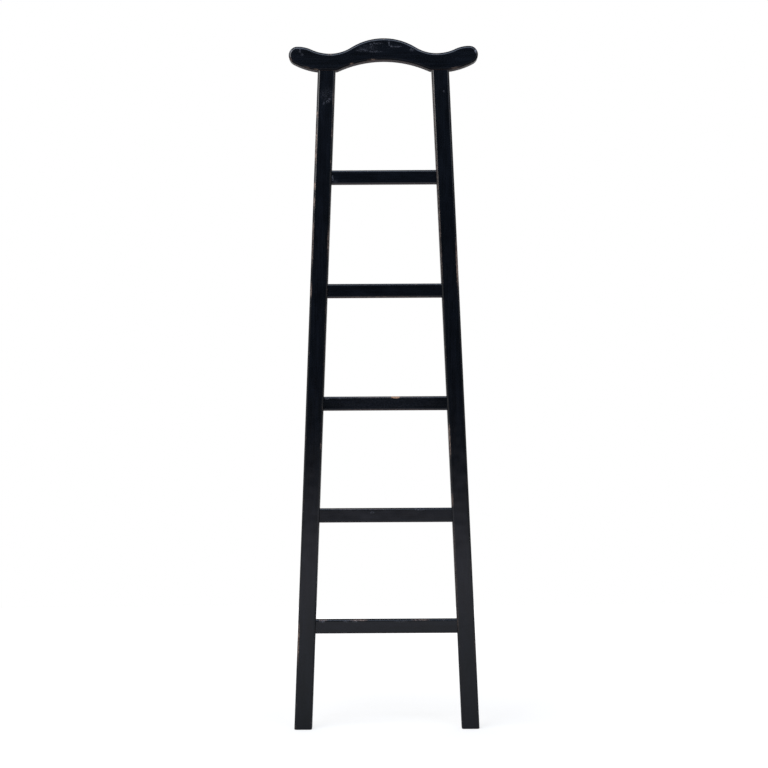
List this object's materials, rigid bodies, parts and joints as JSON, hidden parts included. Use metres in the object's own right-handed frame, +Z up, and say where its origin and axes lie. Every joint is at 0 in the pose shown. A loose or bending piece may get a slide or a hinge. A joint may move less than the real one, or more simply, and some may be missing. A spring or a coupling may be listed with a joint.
{
  "type": "ladder coat rack",
  "caption": "Tall ladder-shaped coat rack: splayed black-lacquered stiles, level rungs to hang clothes over and a yoke-shaped crest rail, leant upright against a wall.",
  "frame": {"origin": "on the floor, midway between the two feet and halfway through the rack's depth", "axes": "+X to the viewer's right, +Y to the back, where the wall is, +Z up"},
  "size_m": [0.5016, 0.046, 1.83],
  "materials": {
    "black_lacquered_wood": "worn satin black lacquer over a red-brown ground, rubbed through at the edges",
    "peg_wood": "hardwood pins, lacquered over at the back"
  },
  "bodies": {
    "root": {"left_stile": "black_lacquered_wood", "right_stile": "black_lacquered_wood", "rung_1": "black_lacquered_wood", "rung_2": "black_lacquered_wood", "rung_3": "black_lacquered_wood", "rung_4": "black_lacquered_wood", "rung_5": "black_lacquered_wood", "crest_rail": "black_lacquered_wood", "crest_left_peg": "peg_wood", "crest_right_peg": "peg_wood", "rung_1_left_peg": "peg_wood", "rung_1_right_peg": "peg_wood", "rung_2_left_peg": "peg_wood", "rung_2_right_peg": "peg_wood", "rung_3_left_peg": "peg_wood", "rung_3_right_peg": "peg_wood", "rung_4_left_peg": "peg_wood", "rung_4_right_peg": "peg_wood", "rung_5_left_peg": "peg_wood", "rung_5_right_peg": "peg_wood"}
  },
  "joints": []
}
